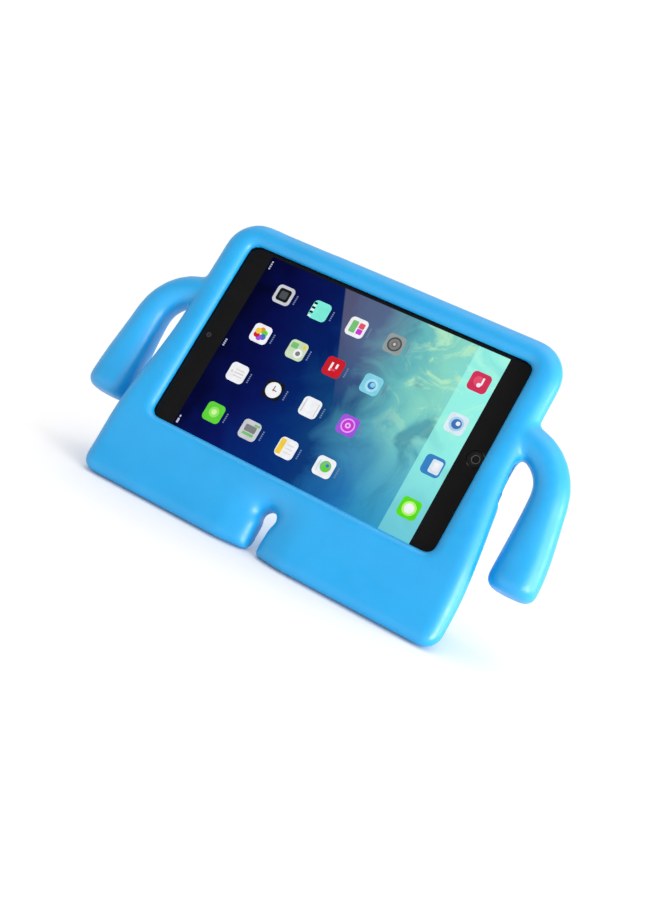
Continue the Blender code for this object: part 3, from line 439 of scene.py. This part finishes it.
def join_rings(data, rings):
    """Faces between each ring of vertices and the next."""
    faces = []
    for lower, upper in zip(rings, rings[1:]):
        for index in range(len(lower)):
            following = (index + 1) % len(lower)
            faces.append(data.faces.new((lower[index], lower[following], upper[following], upper[index])))
    return faces


def add_plate(data, outline, bottom, top, slot=0, edge=0.0):
    """Adds a flat closed plate to a mesh; edge is a small chamfer round its top."""
    centre_x = sum(point[0] for point in outline) / len(outline)
    centre_y = sum(point[1] for point in outline) / len(outline)
    layers = [(0.0, bottom), (0.0, top - edge)]
    if edge:
        layers.append((edge, top))
    rings = []
    for inset, z in layers:
        ring = []
        for x, y in outline:
            reach = math.hypot(x - centre_x, y - centre_y) or 1.0
            scale = 1.0 - inset / reach
            place = (centre_x + (x - centre_x) * scale, centre_y + (y - centre_y) * scale, z)
            ring.append(data.verts.new(place))
        rings.append(ring)
    faces = [data.faces.new(list(reversed(rings[0]))), data.faces.new(rings[-1])]
    for face in faces + join_rings(data, rings):
        face.material_index = slot


def add_ring(data, outer, inner, bottom, top, centre, steps=64):
    """Adds a flat closed ring to a mesh."""
    rings = []
    for radius, z in ((outer, bottom), (outer, top), (inner, top), (inner, bottom)):
        rings.append([data.verts.new((x, y, z)) for x, y in circle(radius, centre, steps)])
    join_rings(data, rings + rings[:1])


def screen_object(name, data, materials):
    """A finished object whose mesh is in screen coordinates."""
    mesh = bpy.data.meshes.new(name)
    data.to_mesh(mesh)
    data.free()
    mesh.shade_smooth()
    mesh.set_sharp_from_angle(angle=math.radians(SHARP_ANGLE))
    for material in materials:
        mesh.materials.append(material)
    item = bpy.data.objects.new(name, mesh)
    bpy.context.collection.objects.link(item)
    item.matrix_world = SCREEN
    return item


def apply_modifiers(item, sharp_angle):
    depsgraph = bpy.context.evaluated_depsgraph_get()
    mesh = bpy.data.meshes.new_from_object(item.evaluated_get(depsgraph))
    item.modifiers.clear()
    mesh.shade_smooth()
    mesh.set_sharp_from_angle(angle=math.radians(sharp_angle))
    item.data = mesh


def cut_through_glass(item, outline):
    """Cuts a prism in screen coordinates right through the glass."""
    data = bmesh.new()
    add_plate(data, outline, -2 * GLASS_THICKNESS, GLASS_THICKNESS)
    cutter = screen_object("cutter", data, [])
    modifier = item.modifiers.new("cut", "BOOLEAN")
    modifier.operation = "DIFFERENCE"
    modifier.solver = "EXACT"
    modifier.object = cutter
    bpy.context.view_layer.update()
    apply_modifiers(item, SHARP_ANGLE)
    bpy.data.objects.remove(cutter)


def dress(item, body):
    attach(item, body)


# ---------------------------------------------------------------- foam case

WELD_DISTANCE = 0.01 * MM
FOAM_VOXEL = 1.3 * MM
FOAM_RELAX = 0.5
FOAM_SMOOTHING = 14


def build_foam(material):
    """The moulding's soft skin: the case's own solid, remeshed evenly and relaxed at every edge."""
    mesh = nodes["foam_case"].data.copy()
    data = bmesh.new()
    data.from_mesh(mesh)
    bmesh.ops.remove_doubles(data, verts=data.verts, dist=WELD_DISTANCE)
    data.to_mesh(mesh)
    data.free()
    foam = bpy.data.objects.new("foam_moulding", mesh)
    bpy.context.collection.objects.link(foam)
    remesh = foam.modifiers.new("remesh", "REMESH")
    remesh.mode = "VOXEL"
    remesh.voxel_size = FOAM_VOXEL
    relax = foam.modifiers.new("relax", "SMOOTH")
    relax.factor = FOAM_RELAX
    relax.iterations = FOAM_SMOOTHING
    bpy.context.view_layer.update()
    apply_modifiers(foam, ALL_SMOOTH)
    foam.data.materials.clear()
    foam.data.materials.append(material)
    dress(foam, "case")
    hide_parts("foam_case")


# ---------------------------------------------------------------- glass and display

GLASS_CORNER = 10.5 * MM
GLASS_CHAMFER = 0.15 * MM
BUTTON_HOLE_RADIUS = 5.3 * MM
DISPLAY_CORNER = 0.3 * MM
DISPLAY_PLAY = 0.04 * MM
DISPLAY_SINK = 0.02 * MM


def build_border_glass(material):
    """The cover glass as a border round the picture, with the round button's hole."""
    low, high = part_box("front_glass")
    length = high[0] - low[0]
    tilt_drop = GLASS_THICKNESS * abs(OUT.z)
    width = (high[2] - low[2] - tilt_drop) / UP.z
    data = bmesh.new()
    outline = rounded_rectangle(length, width, GLASS_CORNER, steps=10)
    add_plate(data, outline, -GLASS_THICKNESS, 0.0, edge=GLASS_CHAMFER)
    glass = screen_object("border_glass", data, [material])
    cut_through_glass(glass, rounded_rectangle(DISPLAY_LENGTH, DISPLAY_WIDTH, DISPLAY_CORNER, steps=2))
    button = on_screen(box_centre("home_button"))
    cut_through_glass(glass, circle(BUTTON_HOLE_RADIUS, (button.x, button.y), steps=64))
    dress(glass, "tablet")
    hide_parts("front_glass")


def build_picture(material):
    data = bmesh.new()
    outline = rounded_rectangle(DISPLAY_LENGTH - DISPLAY_PLAY, DISPLAY_WIDTH - DISPLAY_PLAY,
                                DISPLAY_CORNER, steps=2)
    add_plate(data, outline, -GLASS_THICKNESS, -DISPLAY_SINK)
    picture = screen_object("lit_picture", data, [material])
    dress(picture, "tablet")


# ---------------------------------------------------------------- icons and marks

# Each shape on the display stands one layer above the last and reaches into the one below
LAYER = 0.02 * MM
LAYER_DEPTH = 1.5 * LAYER

# Corner radius as a share of the shorter side
SQUARE_ROUNDING = 0.18
DASH_ROUNDING = 0.4

# Places and sizes on the display, in millimetres
ICON_SIZE = 11.9
ICON_CORNER = 2.7
GRID_X = (-60.9, -35.4, -9.9, 15.6)
GRID_Y = (40.95, 13.65, -13.65, -40.95)
DOCK_X = 70.7
DOCK_Y = (40.65, 13.55, -13.55, -40.65)
LABEL_AWAY = 8.4
LABEL_START = -2.6
LABEL_PITCH = 1.3
DASH_LENGTH = 0.9
DASH_WIDTH = 1.0
STATUS_X = -78.4

LABEL_DASHES = 5         # small bars in each label

WHITE = (244, 246, 250)
PALE = (206, 208, 214)
INK = (22, 24, 28)
GREY = (128, 132, 132)
DARK_GREY = (74, 80, 84)
CREAM = (226, 214, 200)
GREEN = (98, 214, 60)
LEAF = (122, 196, 120)
LIME = (150, 235, 100)
MINT = (126, 240, 220)
AQUA = (134, 214, 236)
BLUE = (66, 120, 190)
RED = (206, 30, 44)
PINK = (232, 84, 112)
ORANGE = (240, 150, 50)
YELLOW = (246, 208, 70)
MAGENTA = (206, 60, 214)
VIOLET = (166, 84, 226)
LABEL_GREY = (118, 134, 170)
STATUS_WHITE = (188, 194, 206)

# Each icon: background colour, then shapes as (kind, x, y, length or radius, width, colour)
ICONS = {
    (0, 0): (PALE, [("square", 0, 0, 8.2, 8.2, INK), ("square", 0, 0, 5.0, 5.0, DARK_GREY)]),
    (0, 1): (WHITE, [("disc", 0, 2.4, 1.9, 0, ORANGE), ("disc", 2.2, 1.1, 1.9, 0, GREEN),
                     ("disc", 2.2, -1.3, 1.9, 0, BLUE), ("disc", 0, -2.4, 1.9, 0, VIOLET),
                     ("disc", -2.2, -1.1, 1.9, 0, RED), ("disc", -2.2, 1.3, 1.9, 0, YELLOW)]),
    (0, 2): (WHITE, [("square", 1.0, 2.0, 6.0, 0.7, CREAM), ("square", 1.0, 0.0, 6.0, 0.7, PALE),
                     ("square", 1.0, -2.0, 6.0, 0.7, CREAM), ("disc", -3.7, 0, 0.8, 0, CREAM)]),
    (0, 3): (GREEN, [("disc", 0, 0.4, 3.3, 0, LIME), ("disc", 0, 0.4, 1.7, 0, (206, 250, 170))]),
    (1, 0): (MINT, [("square", -4.6, 3.6, 2.2, 1.3, INK), ("square", -4.6, 0.6, 2.2, 1.3, INK),
                    ("square", -4.6, -2.4, 2.2, 1.3, INK), ("square", -4.6, -4.9, 2.2, 1.0, WHITE),
                    ("square", -4.6, 2.1, 2.2, 1.2, WHITE), ("square", -4.6, -0.9, 2.2, 1.2, WHITE)]),
    (1, 1): ((206, 226, 190), [("square", -2.6, 2.4, 4.4, 3.6, LEAF), ("disc", 1.6, -1.6, 2.9, 0, WHITE),
                               ("disc", 1.6, -1.6, 1.5, 0, GREY), ("square", 3.6, 3.4, 2.2, 2.0, YELLOW)]),
    (1, 2): (INK, [("disc", 0, 0, 4.9, 0, WHITE), ("square", 0, 1.4, 0.5, 3.0, INK),
                   ("square", 1.1, 0, 2.3, 0.5, INK), ("disc", 0, 0, 0.6, 0, RED)]),
    (1, 3): (PALE, [("square", 0, 0.9, 7.4, 4.2, GREY), ("square", 0, -2.6, 7.4, 1.7, LEAF),
                    ("square", 3.1, 3.9, 3.6, 1.4, LEAF)]),
    (2, 0): (WHITE, [("square", -2.0, 0, 3.9, 7.6, LEAF), ("square", 2.6, 1.9, 3.6, 3.6, PINK),
                     ("square", 2.6, -1.9, 3.6, 3.4, MAGENTA)]),
    (2, 1): (RED, [("square", -1.6, 0, 1.3, 5.4, WHITE), ("square", 1.7, 1.2, 1.3, 3.0, WHITE),
                   ("square", 0.2, -1.6, 3.2, 1.2, PINK)]),
    (2, 2): (WHITE, [("square", -4.2, 0, 0.8, 8.2, PALE), ("square", 4.3, 0, 0.6, 8.2, PALE)]),
    (2, 3): (WHITE, [("square", -3.7, 0, 3.3, 9.6, YELLOW), ("square", 1.6, 2.4, 4.6, 0.5, CREAM),
                     ("square", 1.6, 0.0, 4.6, 0.5, CREAM), ("square", 1.6, -2.4, 4.6, 0.5, CREAM)]),
    (3, 0): ((150, 160, 160), [("disc", 0, 0, 4.4, 0, DARK_GREY), ("disc", 0, 0, 3.4, 0, GREY),
                               ("disc", 0, 0, 1.9, 0, (120, 110, 104)), ("disc", 0, 0, 0.8, 0, PALE)]),
    (3, 1): (AQUA, [("disc", 0.4, -0.4, 3.9, 0, (176, 232, 246)), ("disc", 0.4, -0.4, 2.4, 0, BLUE),
                    ("disc", 0.9, 0.1, 1.5, 0, AQUA)]),
    (3, 2): (VIOLET, [("disc", 0, 0, 4.3, 0, (240, 170, 250)), ("disc", 0, 0, 3.5, 0, MAGENTA),
                      ("disc", 0, 0, 1.7, 0, (244, 190, 250)), ("disc", 0, 0, 0.8, 0, VIOLET)]),
    (3, 3): (WHITE, [("disc", 0.6, 0.6, 3.4, 0, LEAF), ("disc", 0.9, -0.5, 2.0, 0, GREEN),
                     ("square", -3.7, 0.0, 1.1, 7.4, (214, 236, 236)), ("disc", 1.4, 1.4, 1.0, 0, BLUE)]),
    ("dock", 0): ((214, 52, 92), [("disc", -0.6, 0.5, 3.0, 0, PINK), ("square", 1.6, 1.0, 1.1, 4.6, WHITE),
                                  ("disc", 0.4, -1.6, 1.3, 0, WHITE)]),
    ("dock", 1): ((224, 240, 250), [("disc", 0, 0, 4.3, 0, (176, 214, 240)), ("disc", 0.2, 0, 3.0, 0, BLUE),
                                    ("disc", 0.9, 0.5, 1.3, 0, WHITE)]),
    ("dock", 2): ((56, 132, 200), [("square", 1.7, 0, 6.6, 8.2, (226, 238, 248)),
                                   ("square", 1.9, 0, 3.2, 4.8, WHITE)]),
    ("dock", 3): ((92, 226, 30), [("disc", 0, 0, 4.2, 0, (190, 250, 120)), ("disc", 0, 0, 2.9, 0, WHITE)]),
}


class Palette:
    """One lit material for each colour used on the display."""

    def __init__(self):
        self.made = {}

    def get(self, colour):
        if colour not in self.made:
            name = "lit_" + "_".join(str(channel) for channel in colour)
            self.made[colour] = light_material(name, srgb(*colour))
        return self.made[colour]


def display_patch(x, y, length, width, corner, steps):
    """Outline of a round-cornered patch given in millimetres."""
    return rounded_rectangle(length * MM, width * MM, corner * MM, (x * MM, y * MM), steps)


def build_icon(name, x, y, background, shapes, palette):
    """A round-cornered tile with its shapes laid on it one above the other."""
    data = bmesh.new()
    materials = [palette.get(background)]
    add_plate(data, display_patch(x, y, ICON_SIZE, ICON_SIZE, ICON_CORNER, steps=6), -DISPLAY_SINK, 0.0)
    top = 0.0
    for kind, right, up, first, second, colour in shapes:
        material = palette.get(colour)
        if material not in materials:
            materials.append(material)
        if kind == "disc":
            outline = circle(first * MM, ((x + right) * MM, (y + up) * MM), steps=32)
        else:
            corner = min(first, second) * SQUARE_ROUNDING
            outline = display_patch(x + right, y + up, first, second, corner, steps=3)
        top += LAYER
        add_plate(data, outline, top - LAYER_DEPTH, top, materials.index(material))
    dress(screen_object(name, data, materials), "tablet")


def build_dashes(name, strokes, material):
    """Short bars that stand for lines of small print; each stroke is (x, y, length, width)."""
    data = bmesh.new()
    for x, y, length, width in strokes:
        corner = min(width, length) * DASH_ROUNDING
        add_plate(data, display_patch(x, y, width, length, corner, steps=3), -DISPLAY_SINK, LAYER / 2)
    dress(screen_object(name, data, [material]), "tablet")


def build_icons(palette):
    label = light_material("label_grey", srgb(*LABEL_GREY))
    for (column, row), (background, shapes) in ICONS.items():
        if column == "dock":
            build_icon(f"dock_icon_{row + 1}", DOCK_X, DOCK_Y[row], background, shapes, palette)
            continue
        x = GRID_X[column]
        y = GRID_Y[row]
        build_icon(f"icon_{column + 1}_{row + 1}", x, y, background, shapes, palette)
        strokes = [(x + LABEL_AWAY, y + LABEL_START + LABEL_PITCH * step, DASH_LENGTH, DASH_WIDTH)
                   for step in range(LABEL_DASHES)]
        build_dashes(f"icon_label_{column + 1}_{row + 1}", strokes, label)


def build_status_marks():
    """Small marks at the left end: the clock, the signal and the battery."""
    clock = [(STATUS_X, 1.9 - 1.25 * step, 0.85, 1.3) for step in range(4)]
    signal = [(STATUS_X, 57.0 - 1.5 * step, 1.1, 1.1) for step in range(4)]
    battery = [(STATUS_X, -54.4, 3.2, 1.3), (STATUS_X, -51.4, 1.4, 1.0)]
    material = light_material("status_white", srgb(*STATUS_WHITE))
    build_dashes("status_marks", clock + signal + battery, material)


# ---------------------------------------------------------------- button ring and front camera

BUTTON_RING_RADIUS = 2.5 * MM
BUTTON_RING_INNER = 2.2 * MM
BUTTON_RING_BOTTOM = -0.36 * MM
BUTTON_RING_TOP = -0.335 * MM
CAMERA_RING_RADIUS = 1.5 * MM
CAMERA_RING_INNER = 1.15 * MM
CAMERA_RING_TOP = 0.012 * MM
CAMERA_GLASS_RADIUS = 1.0 * MM
CAMERA_GLASS_TOP = 0.01 * MM
CAMERA_PIECES_BOTTOM = -0.01 * MM


def build_button_ring(material):
    """A thin circle printed on the round button."""
    centre = on_screen(box_centre("home_button"))
    data = bmesh.new()
    add_ring(data, BUTTON_RING_RADIUS, BUTTON_RING_INNER, BUTTON_RING_BOTTOM, BUTTON_RING_TOP,
             (centre.x, centre.y))
    ring = screen_object("home_button_ring", data, [material])
    dress(ring, "home")


def build_camera_eye(ring_material, lens_glass):
    """The front camera's dark ring and the glass inside it."""
    centre = on_screen(box_centre("front_camera"))
    data = bmesh.new()
    add_ring(data, CAMERA_RING_RADIUS, CAMERA_RING_INNER, CAMERA_PIECES_BOTTOM, CAMERA_RING_TOP,
             (centre.x, centre.y), steps=40)
    dress(screen_object("front_camera_ring", data, [ring_material]), "tablet")
    data = bmesh.new()
    add_plate(data, circle(CAMERA_GLASS_RADIUS, (centre.x, centre.y)), CAMERA_PIECES_BOTTOM,
              CAMERA_GLASS_TOP)
    dress(screen_object("front_camera_glass", data, [lens_glass]), "tablet")


# ---------------------------------------------------------------- CAD pieces that stay


def paint(names, material):
    for name in names:
        item = nodes[name]
        item.data.materials.clear()
        item.data.materials.append(material)


def finish_metal_pieces():
    aluminium = metal_material("anodised_aluminium", (0.60, 0.61, 0.63, 1.0), 0.34, grain_scale=2600.0)
    steel = metal_material("brushed_steel", (0.50, 0.50, 0.50, 1.0), 0.30, grain_scale=1400.0)
    screw = metal_material("screw_steel", (0.42, 0.42, 0.43, 1.0), 0.28, grain_scale=1800.0)
    paint(("rear_housing", "sleep_wake_button", "volume_up_button", "volume_down_button", "side_switch",
           "rear_camera_ring"), aluminium)
    paint(("display_back_plate", "home_button_switch", "charging_port", "speaker_grille_upper",
           "speaker_grille_lower"), steel)
    paint([f"plate_screw_{number}" for number in range(1, 5)], screw)


def finish_plastic_pieces():
    black = plastic_material("black_plastic", (0.012, 0.012, 0.013, 1.0), 0.35)
    button = plastic_material("button_black", GLASS_BLACK, 0.12, grain_scale=900.0, specular=0.25)
    battery = plastic_material("battery_wrap", (0.045, 0.045, 0.05, 1.0), 0.45, grain_scale=500.0)
    board = plastic_material("board_green", (0.008, 0.10, 0.04, 1.0), 0.40, grain_scale=700.0)
    panel = plastic_material("panel_black", (0.02, 0.022, 0.025, 1.0), 0.25, grain_scale=800.0)
    paint(("headphone_jack", "speaker_upper", "speaker_lower", "front_camera", "rear_camera_module"), black)
    paint(("home_button",), button)
    paint(("battery_cell_left", "battery_cell_right"), battery)
    paint(("logic_board",), board)
    paint(("display_panel",), panel)


# ---------------------------------------------------------------- stage and light

FLOOR_SIZE = 80.0
FLOOR_HEIGHT = -0.2 * MM

# The studio is white all round, brighter overhead and dim high up in front on the left
DARK_SIDE = (-0.45, -0.80, 0.45)
SKY = 1.02
DARK_SKY = 0.34
OVERHEAD = 1.06

LIGHT_AIM = (0.0, 0.0, 0.09)


def build_floor():
    bpy.ops.mesh.primitive_plane_add(size=FLOOR_SIZE, location=(0.0, 0.0, FLOOR_HEIGHT))
    floor = bpy.context.object
    floor.name = "studio_floor"
    floor.data.materials.append(stage_material())


def build_world():
    world = bpy.data.worlds.new("studio")
    bpy.context.scene.world = world
    world.use_nodes = True
    tree = world.node_tree
    background = tree.nodes["Background"]
    background.inputs["Color"].default_value = (1.0, 1.0, 1.0, 1.0)
    direction = coordinates(tree, "Generated")
    facing = tree.nodes.new("ShaderNodeVectorMath")
    facing.operation = "DOT_PRODUCT"
    facing.inputs[1].default_value = Vector(DARK_SIDE).normalized()
    tree.links.new(direction, facing.inputs[0])
    rise = split_axes(tree, direction)["Z"]
    mask = product(tree, map_range(tree, facing.outputs["Value"], low=0.35, high=0.95),
                   map_range(tree, rise, low=0.05, high=0.45))
    dimmed = math_node(tree, "MULTIPLY_ADD", mask, DARK_SKY - SKY, SKY)
    overhead = map_range(tree, rise, low=0.75, high=1.0, to_high=OVERHEAD)
    tree.links.new(math_node(tree, "ADD", dimmed, overhead), background.inputs["Strength"])


def add_softbox(name, place, width, height, power):
    data = bpy.data.lights.new(name, "AREA")
    data.shape = "RECTANGLE"
    data.size = width
    data.size_y = height
    data.energy = power
    light = bpy.data.objects.new(name, data)
    bpy.context.collection.objects.link(light)
    light.location = place
    light.rotation_euler = (Vector(LIGHT_AIM) - Vector(place)).to_track_quat("-Z", "Y").to_euler()


# ---------------------------------------------------------------- build

bpy.context.scene.view_settings.view_transform = "Standard"
build_camera()
build_floor()
build_world()
add_softbox("key_right", (2.05, -0.95, 0.22), width=0.9, height=0.4, power=44.0)
add_softbox("rim_right", (1.60, 0.40, 0.28), width=0.5, height=0.5, power=8.0)
build_foam(foam_material())
build_border_glass(glass_material())
build_picture(picture_material())
build_icons(Palette())
build_status_marks()
finish_metal_pieces()
finish_plastic_pieces()
lens = lens_material()
paint(("rear_camera_lens",), lens)
build_button_ring(plastic_material("grey_print", (0.12, 0.12, 0.125, 1.0), 0.3))
build_camera_eye(plastic_material("camera_print", (0.045, 0.045, 0.047, 1.0), 0.3), lens)
